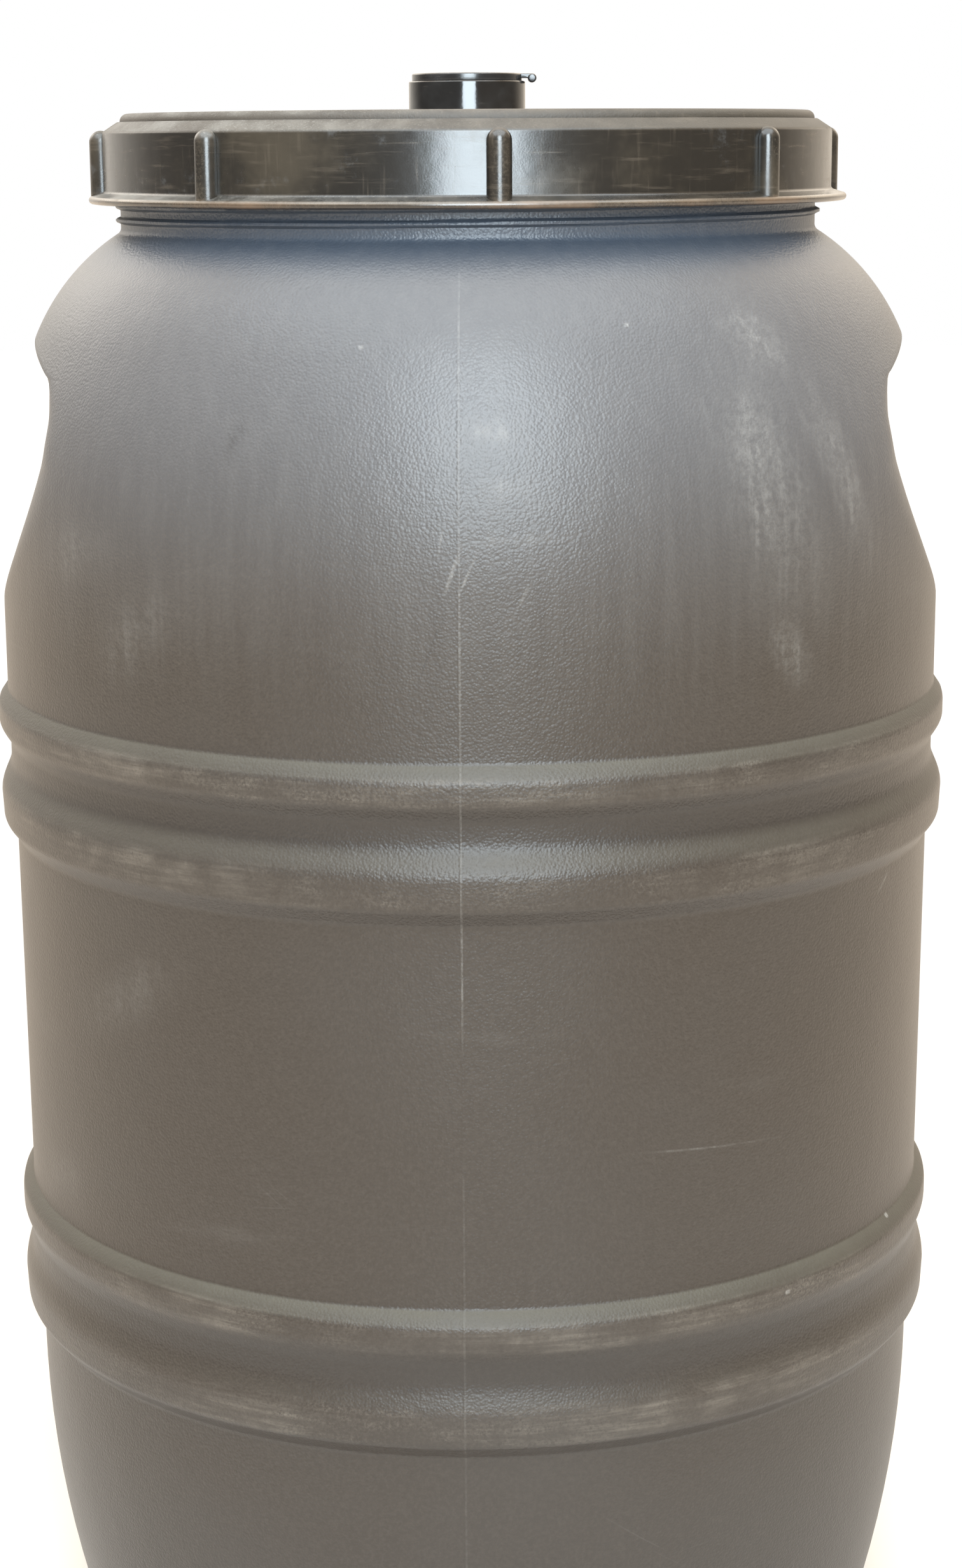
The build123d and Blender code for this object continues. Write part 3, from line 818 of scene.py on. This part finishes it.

# azimuth, height, length, width, tilt, softness, strength of each chalky mark, and of the painted highlight
# along the seam
chalkAndHighlightMarks = [
    (-43.0, 0.785, 0.150, 0.042, -66.0, 1.0, 0.15),      # rubbed band down the right shoulder
    (-54.5, 0.775, 0.200, 0.085, -76.0, 1.0, 0.12),
    (-52.4, 0.858, 0.070, 0.045, -40.0, 1.0, 0.17),
    (-56.0, 0.812, 0.060, 0.040, -70.0, 1.0, 0.10),
    (-57.0, 0.761, 0.050, 0.004, 88.0, 0.8, 0.12),
    (-52.0, 0.690, 0.060, 0.034, -60.0, 1.0, 0.15),
    (-91.6, 0.745, 0.036, 0.0030, 70.0, 0.7, 0.20),      # rubbed scratches beside the seam
    (-90.2, 0.741, 0.030, 0.0018, 66.0, 0.7, 0.16),
    (-92.9, 0.760, 0.022, 0.0014, 80.0, 0.7, 0.14),
    (-87.6, 0.816, 0.044, 0.020, -8.0, 1.0, 0.11),       # speckled patches right of the seam
    (-86.5, 0.786, 0.040, 0.018, 4.0, 1.0, 0.10),
    (-84.7, 0.760, 0.070, 0.009, 2.0, 1.0, 0.08),
    (-84.5, 0.728, 0.030, 0.0030, 62.0, 0.9, 0.10),
    (-130.0, 0.702, 0.110, 0.060, 34.0, 1.0, 0.07),      # rubbed patches on the left
    (-140.0, 0.742, 0.090, 0.050, 20.0, 1.0, 0.07),
    (-134.0, 0.490, 0.140, 0.050, 30.0, 1.0, 0.06),
    (-151.0, 0.360, 0.090, 0.040, 12.0, 1.0, 0.07),
    (-62.0, 0.414, 0.115, 0.0020, -4.0, 0.9, 0.12),      # long fine scratch under the middle
    (-32.3, 0.5405, 0.020, 0.0022, 38.0, 0.7, 0.26),
    (-28.6, 0.330, 0.005, 0.0035, 0.0, 0.7, 0.45),
    (-51.4, 0.318, 0.005, 0.0035, 0.0, 0.7, 0.40),
    (-102.5, 0.858, 0.004, 0.0030, 0.0, 0.7, 0.35),
    (-70.5, 0.868, 0.004, 0.0030, 0.0, 0.7, 0.35),
    (-91.0, 0.690, 0.440, 0.0013, 90.0, 0.2, 0.12),      # painted highlight along the seam's ridge
    (-91.0, 0.240, 0.380, 0.0013, 90.0, 0.2, 0.05),
]
darkMarks = [
    (-94.4, 0.698, 0.048, 0.0016, 70.0, 0.6, 0.45),
    (-97.1, 0.2845, 0.005, 0.004, 0.0, 0.6, 0.60),
    (-116.6, 0.810, 0.034, 0.016, 70.0, 1.0, 0.25),
    (-73.0, 0.700, 0.090, 0.010, -3.0, 1.0, 0.15),
]


def sumMarks(tree, place, marks, broken, total=0.0):
    # adds up the placed marks, each broken up by the same grainy mask
    for azimuth, height, length, width, tilt, soft, strength in marks:
        bar = useGroup(tree, markGroup, place, Azimuth=azimuth, Height=height, Length=length, Width=width,
                       Tilt=tilt, Soft=soft)
        total = timesPlus(tree, times(tree, bar, broken), strength, total)
    return total


def makeDrumFinish():
    finish, tree, place = newFinish("texturedDrum")
    split = addNode(tree, "SeparateXYZ", {0: place})
    height = split.outputs["Z"]
    cloud = noise(tree, place, 3.2, 4.0, 0.6)
    colour = blendColour(tree, ramp(tree, cloud, 0.35, 0.7), drumFinish["tone"], drumFinish["toneCool"])
    fine = noise(tree, place, 430.0, 3.0, 0.7)
    colour = blendColour(tree, ramp(tree, fine, 0.35, 0.75, 0.0, 0.35), colour, drumFinish["fleck"])

    # painted light from above: the shoulder grows lighter and cooler with height
    shoulder = ramp(tree, height, 0.67, 0.85, 0.0, drumFinish["paintedTopLight"])
    colour = blendColour(tree, shoulder, colour, drumFinish["paintedTopLightTone"])
    # painted shadow of the lid on the neck and the top of the dome
    lidShadowPaint = ramp(tree, height, 0.888, 0.912, 0.0, 0.85)
    colour = blendColour(tree, lidShadowPaint, colour, drumFinish["lidShadowPaint"])

    # dry wear on the crests of the hoops: patches, streaks round the drum, and a little grain; and painted
    # shade in the valley between each pair of hoops
    patches = noise(tree, place, 26.0, 6.0, 0.7)
    drawn = useGroup(tree, streakGroup, place, Round=16.0, Up=260.0, Low=0.38, High=0.74, Detail=5.0)
    rubbed = 0.0
    shaded = 0.0
    for hoop in hoops.values():
        top = hoop["top"] * mm
        crest = hoop["crest"] * mm
        ring = useGroup(tree, ringWearGroup, place, Inner=crest - 0.0022, Outer=crest, Cover=0.56)
        here = calc(tree, "COMPARE", height, top - 0.045, 0.05)
        rubbed = timesPlus(tree, ring, here, rubbed)
        offMiddle = calc(tree, "ABSOLUTE", calc(tree, "SUBTRACT", height, top - 0.038))
        shaded = calc(tree, "ADD", shaded, ramp(tree, offMiddle, 0.003, 0.015, 0.45, 0.0))
    rubbed = times(tree, rubbed, timesPlus(tree, drawn, 0.22, 0.05))
    rubbed = times(tree, rubbed, ramp(tree, patches, 0.35, 0.68, 0.25, 1.5))

    # chalky marks, soft scuffs, hairlines and the painted highlight along the seam
    dry = noise(tree, place, 210.0, 5.0, 0.8)
    drawnDown = useGroup(tree, streakGroup, place, Round=130.0, Up=9.0, Low=0.35, High=0.75)
    drawnShare = ramp(tree, drawnDown, 0.0, 1.0, 0.6, 1.2)
    broken = times(tree, ramp(tree, dry, 0.36, 0.66, 0.25, 1.3), drawnShare)
    scuffs = useGroup(tree, streakGroup, place, Round=5.0, Up=26.0, Low=0.60, High=0.80, Detail=6.0)
    chalkAndHighlight = times(tree, scuffs, 0.03)
    high = ramp(tree, height, 0.64, 0.72)
    chalkAndHighlight = timesPlus(tree, times(tree, drawnDown, high), 0.022, chalkAndHighlight)
    for lean in (6.0, -38.0):
        hairs = useGroup(tree, scratchGroup, place, Lean=lean, Cover=0.25)
        chalkAndHighlight = timesPlus(tree, hairs, 0.04, chalkAndHighlight)
    chalkAndHighlight = calc(tree, "MINIMUM", sumMarks(tree, place, chalkAndHighlightMarks, broken, chalkAndHighlight), 0.9)
    # painted shade in the hoop valleys
    colour = blendColour(tree, shaded, colour, drumFinish["dark"])
    # painted light from above: up-facing surfaces below the upper hoop's top turn lighter and warmer, and
    # rougher
    ledgeLightMask = useGroup(tree, dustGroup, place, Amount=1.25, Even=0.75)
    ledgeLightMask = times(tree, ledgeLightMask, ramp(tree, height, 0.655, 0.640))
    colour = blendColour(tree, ledgeLightMask, colour, drumFinish["paintedLedgeLight"])
    colour = blendColour(tree, rubbed, colour, drumFinish["rubbed"])
    colour = blendColour(tree, chalkAndHighlight, colour, drumFinish["chalkAndHighlightTone"])
    colour = blendColour(tree, sumMarks(tree, place, darkMarks, broken), colour, drumFinish["dark"])

    wearAndHighlight = calc(tree, "ADD", rubbed, chalkAndHighlight)
    rough = timesPlus(tree, wearAndHighlight, 0.25, drumFinish["roughness"])
    rough = timesPlus(tree, ledgeLightMask, 0.38, rough)
    rough = timesPlus(tree, calc(tree, "SUBTRACT", cloud, 0.5), 0.16, rough, clamp=True)
    grain = useGroup(tree, grainGroup, place, Size=drumFinish["grainSize"])
    ripple = noise(tree, place, 22.0)
    surface = timesPlus(tree, ripple, 2.5, grain)
    closeFinish(tree, colour, rough, surface, drumFinish["grainDepth"], drumFinish["specular"])
    return finish


# screw lid

lid = {
    "steps": 288,
    "skirt": 217.7,
    "skirtInner": 212.6,
    "flange": 226.8,
    "flangeInner": 214.2,
    "flangeFall": 2.2,
    "flangeRound": 2.2,
    "shoulderDrop": 10.6,    # below the lid's top
    "bevelRadius": 208.8,
    "bevelDrop": 4.8,
    "rollRadius": 4.6,
    "rollFoot": 207.2,
    "rimInner": 186.0,
    "rimLean": 6.0,
    "panelDrop": 8.0,
    "panelThickness": 4.6,
    "bossRadius": 60.0,
    "bossThickness": 7.0,
    "hole": 33.5,
    "ribs": 8,
    "ribRadius": 6.8,
    "ribProud": 8.0,
    "ribPhase": -85.4,
    "panelRibs": 12,
    "panelRibHeight": 5.0,
    "panelRibThickness": 3.0,
    "grooveInner": 199.9,
    "grooveOuter": 210.1,
    "grooveRoofDrop": 10.6,
    "grooveLipWidth": 3.0,
    "grooveLipDepth": 5.5,
    "threadRowsDrop": 18.0,
    "threadDrop": 14.0,
    "socketRise": 18.0,      # the socket's top above the lid's
}
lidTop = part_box("bung_socket")[1].z / mm - lid["socketRise"]


def lidOutline():
    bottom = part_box("screw_lid")[0].z / mm
    panel = lidTop - lid["panelDrop"]
    panelUnder = panel - lid["panelThickness"]
    rimUnder = lidTop - lid["panelThickness"]
    shoulder = lidTop - lid["shoulderDrop"]
    bevelTop = lidTop - lid["bevelDrop"]
    edgeTop = bottom + 2 * lid["flangeRound"]
    roof = lidTop - lid["grooveRoofDrop"]
    lipInner = lid["grooveInner"] - lid["grooveLipWidth"]
    roll = lid["rollRadius"]
    rimFoot = lid["rimInner"] - lid["rimLean"]
    rows = [(lid["hole"], panel), (rimFoot, panel, 1.5), (lid["rimInner"], lidTop, 1.5)]
    rows += arcRows((lid["rollFoot"] - roll, lidTop - roll), roll, 90, 0, 8)
    rows += [(lid["rollFoot"], bevelTop - 0.5, 0.5), (lid["bevelRadius"] - 0.5, bevelTop - 0.3, 0.4),
             (lid["bevelRadius"], bevelTop, 0.6), (lid["skirt"], shoulder, 1.4)]
    rows += [(lid["skirt"], edgeTop + lid["flangeFall"], 1.5)]
    soft = lid["flangeRound"]
    rows += arcRows((lid["flange"] - soft, bottom + soft), soft, 90, -90, 10)
    rows += [(lid["flangeInner"], bottom, 0.8), (lid["skirtInner"], edgeTop, 0.8)]
    low, high = edgeTop + 1.5, lidTop - lid["threadRowsDrop"]
    count = round((high - low) / (thread["rowStep"] * 1.15))
    rows += [(lid["skirtInner"], low + (high - low) * i / count) for i in range(count + 1)]
    lipFoot = roof - lid["grooveLipDepth"]
    bossUnder = panel - lid["bossThickness"]
    rows += [(lid["skirtInner"], roof - 2.4), (lid["grooveOuter"], roof, 0.5),
             (lid["grooveInner"], roof, 0.5), (lid["grooveInner"], lipFoot, 0.6), (lipInner, lipFoot, 0.6),
             (lipInner, panel), (lipInner - lid["grooveLipWidth"], rimUnder), (lid["rimInner"], rimUnder),
             (rimFoot, panelUnder), (lid["bossRadius"], panelUnder),
             (lid["bossRadius"] - 2, bossUnder), (lid["hole"], bossUnder)]
    return rows


def makeLidRibs():
    # the eight half-round grip ribs and the flat ribs under the panel, as one tool
    bm = bmesh.new()
    centre = lid["skirt"] + lid["ribProud"] - lid["ribRadius"]
    shoulder = lidTop - lid["shoulderDrop"]
    domeFoot = shoulder - lid["ribRadius"] + 1.0
    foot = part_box("screw_lid")[0].z / mm + 2.0
    drawOutline(bm, [(centre, foot), (centre + lid["ribRadius"], foot)]
                + arcRows((centre, domeFoot), lid["ribRadius"], 0, 90, 10))
    spinRound(bm, 40, (centre, 0, 0))
    phase = Matrix.Rotation(radians(lid["ribPhase"]), 4, "Z")
    bmesh.ops.transform(bm, matrix=phase, verts=bm.verts)
    first = bm.verts[:] + bm.edges[:] + bm.faces[:]
    for i in range(1, lid["ribs"]):
        copied = bmesh.ops.duplicate(bm, geom=first)["geom"]
        turn = Matrix.Rotation(2 * pi * i / lid["ribs"], 4, "Z")
        bmesh.ops.transform(bm, matrix=turn, verts=[v for v in copied if isinstance(v, bmesh.types.BMVert)])
    panelUnder = lidTop - lid["panelDrop"] - lid["panelThickness"]
    start = lid["bossRadius"] - 4
    end = lid["rimInner"] - lid["rimLean"] + 2
    for i in range(lid["panelRibs"]):
        turn = Matrix.Rotation(2 * pi * i / lid["panelRibs"], 4, "Z")
        place = Matrix.Translation(((start + end) / 2, 0, panelUnder - lid["panelRibHeight"] / 2 + 0.5))
        size = Matrix.Diagonal((end - start, lid["panelRibThickness"], lid["panelRibHeight"] + 1.0, 1.0))
        bmesh.ops.create_cube(bm, size=1.0, matrix=turn @ place @ size)
    return toObject(bm, "lidRibs")


def makeLid(finish):
    bm = bmesh.new()
    drawOutline(bm, lidOutline(), closed=True)
    spinRound(bm, lid["steps"])
    lidThread = thread["start"] + thread["lidStartTurns"] * thread["pitch"]
    for vert in bm.verts:
        radius = hypot(vert.co.x, vert.co.y)
        if abs(radius - lid["skirtInner"]) < 0.01 and vert.co.z < lidTop - lid["threadDrop"]:
            azimuth = degrees(atan2(vert.co.y, vert.co.x))
            proud = threadHeight(vert.co.z, azimuth, lidThread, thread["lidTurns"])
            vert.co.xy *= (radius - proud) / radius
    piece = toObject(bm, "screwLid")
    joinTool(piece, makeLidRibs())
    finishPiece(piece, finish, "lid", "lid_black", "screw_lid")


lidFinish = {
    "tone": (0.0125, 0.0115, 0.0100, 1.0),
    "handled": (0.034, 0.028, 0.019, 1.0),
    "dust": (0.20, 0.160, 0.118, 1.0),
    # dust on the left, painted paler and cooler as painted light
    "dustLitLeft": (0.29, 0.275, 0.245, 1.0),
    "rust": (0.20, 0.115, 0.065, 1.0),
    "matt": (0.036, 0.028, 0.020, 1.0),
    "mattPale": (0.066, 0.054, 0.041, 1.0),
    "haze": (0.20, 0.23, 0.26, 1.0),
    "roughness": 0.23,
    "grainSize": 0.0011,
    "grainDepth": 0.00012,
    "specular": 0.85,
}


def makeLidFinish():
    finish, tree, place = newFinish("blackLid")
    split = addNode(tree, "SeparateXYZ", {0: place})
    height = split.outputs["Z"]
    radius = radiusOf(tree, place)
    cloud = noise(tree, place, 11.0, 5.0, 0.65)
    handled = ramp(tree, cloud, 0.45, 0.70)
    colour = blendColour(tree, handled, lidFinish["tone"], lidFinish["handled"])
    shoulder = (lidTop - lid["shoulderDrop"]) * mm
    matt = ramp(tree, height, shoulder - 0.0012, shoulder + 0.0010)
    mattTone = blendColour(tree, ramp(tree, cloud, 0.3, 0.7), lidFinish["matt"], lidFinish["mattPale"])
    # painted shade: the matt top darkens towards the right
    mattShadeRight = ramp(tree, split.outputs["X"], -0.05, 0.18, 0.0, 0.9)
    mattTone = blendColour(tree, mattShadeRight, mattTone, lidFinish["handled"])
    colour = blendColour(tree, matt, colour, mattTone)
    streaks = useGroup(tree, streakGroup, place, Round=26.0, Up=330.0, Low=0.52, High=0.78)
    upright = useGroup(tree, streakGroup, place, Round=240.0, Up=20.0, Low=0.55, High=0.80)
    scuff = timesPlus(tree, streaks, 0.16, times(tree, upright, 0.14))
    ribEdge = useGroup(tree, ringWearGroup, place, Inner=0.2215, Outer=0.2262, Cover=0.46)
    scuff = timesPlus(tree, ribEdge, 0.16, scuff, clamp=True)
    # painted light and shade: the dust is paler and cooler on the left and browner on the right
    paintedSideTint = ramp(tree, split.outputs["X"], -0.2, 0.2)
    dustTone = blendColour(tree, paintedSideTint, lidFinish["dustLitLeft"], lidFinish["dust"])
    colour = blendColour(tree, scuff, colour, lidFinish["dust"])
    hazy = noise(tree, place, 19.0, 7.0, 0.75)
    haze = times(tree, ramp(tree, hazy, 0.56, 0.72, 0.0, 0.16), oneLess(tree, matt))
    colour = blendColour(tree, haze, colour, lidFinish["haze"])
    # painted shade: less dust towards the right, so that side stays darker
    dustShadeRight = ramp(tree, split.outputs["X"], -0.2, 0.2, 0.60, 0.08)
    dust = times(tree, useGroup(tree, dustGroup, place, Amount=1.0), dustShadeRight)
    colour = blendColour(tree, dust, colour, dustTone)
    edge = ramp(tree, radius, 0.2235, 0.2266)
    low = ramp(tree, height, 0.934, 0.931)
    lip = times(tree, ramp(tree, radius, 0.2240, 0.2262), ramp(tree, height, 0.9300, 0.9312))
    lip = times(tree, times(tree, lip, low), ramp(tree, hazy, 0.3, 0.7, 0.25, 0.75))
    colour = blendColour(tree, lip, colour, lidFinish["dust"])
    rusty = times(tree, times(tree, edge, low), ramp(tree, cloud, 0.45, 0.65, 0.05, 0.4))
    colour = blendColour(tree, rusty, colour, lidFinish["rust"])
    rough = timesPlus(tree, handled, 0.12, lidFinish["roughness"])
    rough = timesPlus(tree, matt, 0.38, rough)
    rough = timesPlus(tree, haze, 1.0, rough)
    rough = timesPlus(tree, calc(tree, "ADD", scuff, dust), 0.35, rough, clamp=True)
    grain = useGroup(tree, grainGroup, place, Size=lidFinish["grainSize"])
    ripple = noise(tree, place, 60.0)
    pebbled = times(tree, grain, timesPlus(tree, matt, 0.8, 0.12))
    surface = timesPlus(tree, ripple, 1.4, pebbled)
    closeFinish(tree, colour, rough, surface, lidFinish["grainDepth"], lidFinish["specular"])
    return finish


# socket, washer, nut and plug

socket = {
    "steps": 160,
    "radius": 34.85,
    "bore": 28.0,
    "flange": 46.0,
    "flangeThickness": 4.5,
    "shank": 33.0,
    "washer": 2.0,
}

plug = {
    "steps": 128,
    "head": 32.9,
    "headThickness": 4.4,
    "dish": 25.0,
    "dishDepth": 2.0,
    "skirt": 27.7,
    "skirtWall": 5.0,
    "skirtLength": 16.0,
    "ringDrop": 8.0,
    "ringHalfGroove": 1.6,
    "grooveFloor": 24.82,
    "tabHalfWidth": 5.5,
    "tabThickness": 2.6,
    "tabReach": 38.9,
    "tabDrop": 0.2,
    "bead": 2.6,
    "beadLength": 14.0,
}


def makeSocket(finish):
    low, high = (corner.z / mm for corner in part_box("bung_socket"))
    flangeFoot = lidTop - lid["panelDrop"] + socket["washer"]
    flangeTop = flangeFoot + socket["flangeThickness"]
    bm = bmesh.new()
    drawOutline(bm, [(socket["bore"], low, 0.6), (socket["shank"], low, 0.8), (socket["shank"], flangeFoot),
                     (socket["flange"], flangeFoot, 0.5), (socket["flange"], flangeTop, 1.2),
                     (socket["radius"], flangeTop, 1.5), (socket["radius"], high, 0.9),
                     (socket["bore"], high, 0.6)], closed=True)
    spinRound(bm, socket["steps"])
    finishPiece(toObject(bm, "bungSocket"), finish, "lid", "socket_gloss", "bung_socket")


def makePlug(finish):
    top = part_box("bung_plug")[1].z / mm
    seat = top - plug["headThickness"]
    ring = seat - 0.1 - plug["ringDrop"]
    half = plug["ringHalfGroove"]
    bm = bmesh.new()
    drawOutline(bm, [(0, top - plug["dishDepth"]), (plug["dish"], top - plug["dishDepth"], 0.8),
                     (plug["dish"], top, 0.6), (plug["head"], top, 1.0), (plug["head"], seat, 0.3),
                     (plug["skirt"], seat), (plug["skirt"], ring + half),
                     (plug["grooveFloor"], ring + half, 0.4),
                     (plug["grooveFloor"], ring - half, 0.4), (plug["skirt"], ring - half),
                     (plug["skirt"], seat - plug["skirtLength"], 0.8),
                     (plug["skirt"] - plug["skirtWall"], seat - plug["skirtLength"], 0.5),
                     (plug["skirt"] - plug["skirtWall"], seat), (0, seat)])
    spinRound(bm, plug["steps"])
    piece = toObject(bm, "bungPlug")
    tab = bmesh.new()
    start = plug["head"] - 4
    length = plug["tabReach"] - start
    place = Matrix.Translation((start + length / 2, 0, top - plug["tabDrop"] - plug["tabThickness"] / 2))
    size = Matrix.Diagonal((length, 2 * plug["tabHalfWidth"], plug["tabThickness"], 1.0))
    bmesh.ops.create_cube(tab, size=1.0, matrix=place @ size)
    roundOff(tab, tab.edges[:], 0.5, 3)
    joinTool(piece, toObject(tab, "plugTab"))
    bead = bmesh.new()
    place = Matrix.Translation((plug["tabReach"], 0, top - plug["tabDrop"] - plug["bead"]))
    place = place @ Matrix.Rotation(pi / 2, 4, "X")
    bmesh.ops.create_cone(bead, cap_ends=True, segments=32, radius1=plug["bead"], radius2=plug["bead"],
                          depth=plug["beadLength"], matrix=place)
    caps = [edge for edge in bead.edges if any(len(face.verts) > 4 for face in edge.link_faces)]
    roundOff(bead, caps, 1.0, 4)
    joinTool(piece, toObject(bead, "plugBead"))
    finishPiece(piece, finish, "plug", "plug_gloss", "bung_plug")


def makeGlossFinish(name, tone, roughness, dustAmount):
    finish, tree, place = newFinish(name)
    cloud = noise(tree, place, 45.0, 4.0)
    paler = (*(c * 2.2 for c in tone[:3]), 1.0)
    colour = blendColour(tree, ramp(tree, cloud, 0.4, 0.7), tone, paler)
    dust = useGroup(tree, dustGroup, place, Amount=dustAmount)
    colour = blendColour(tree, dust, colour, lidFinish["dust"])
    streaks = useGroup(tree, streakGroup, place, Round=90.0, Up=500.0, Low=0.6, High=0.8)
    colour = blendColour(tree, times(tree, streaks, 0.10), colour, lidFinish["dust"])
    rough = timesPlus(tree, ramp(tree, cloud, 0.35, 0.75), 0.07, roughness)
    rough = timesPlus(tree, timesPlus(tree, streaks, 0.3, dust), 0.4, rough, clamp=True)
    closeFinish(tree, colour, rough, noise(tree, place, 260.0), 0.00004, lidFinish["specular"])
    return finish


def makeRubberFinish():
    finish, tree, place = newFinish("sealRubber")
    cloud = noise(tree, place, 60.0, 5.0)
    colour = blendColour(tree, cloud, (0.020, 0.020, 0.021, 1.0), (0.050, 0.048, 0.045, 1.0))
    rough = ramp(tree, cloud, 0.2, 0.8, 0.62, 0.85)
    closeFinish(tree, colour, rough, noise(tree, place, 1400.0), 0.00005)
    return finish


def dressNode(name, finish):
    # a CAD node that stays as it is gets only a new finish
    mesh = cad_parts[name].data
    mesh.materials.clear()
    mesh.materials.append(finish)


makeCamera()
makeStudio()
glossFinish = makeGlossFinish("glossSocket", (0.010, 0.010, 0.010, 1.0), 0.10, 0.35)
plugFinish = makeGlossFinish("glossPlug", (0.013, 0.013, 0.014, 1.0), 0.20, 0.8)
rubberFinish = makeRubberFinish()
makeDrumShell(makeDrumFinish())
makeLid(makeLidFinish())
makeSocket(glossFinish)
makePlug(plugFinish)
for hiddenSeal in ("lid_gasket", "bung_gasket", "plug_o_ring"):
    dressNode(hiddenSeal, rubberFinish)
dressNode("bung_locknut", glossFinish)
replacements = {"drum_shell": "drumShell", "screw_lid": "screwLid", "bung_socket": "bungSocket",
                "bung_plug": "bungPlug"}
for name, replacement in replacements.items():
    dressNode(name, bpy.data.objects[replacement].data.materials[0])
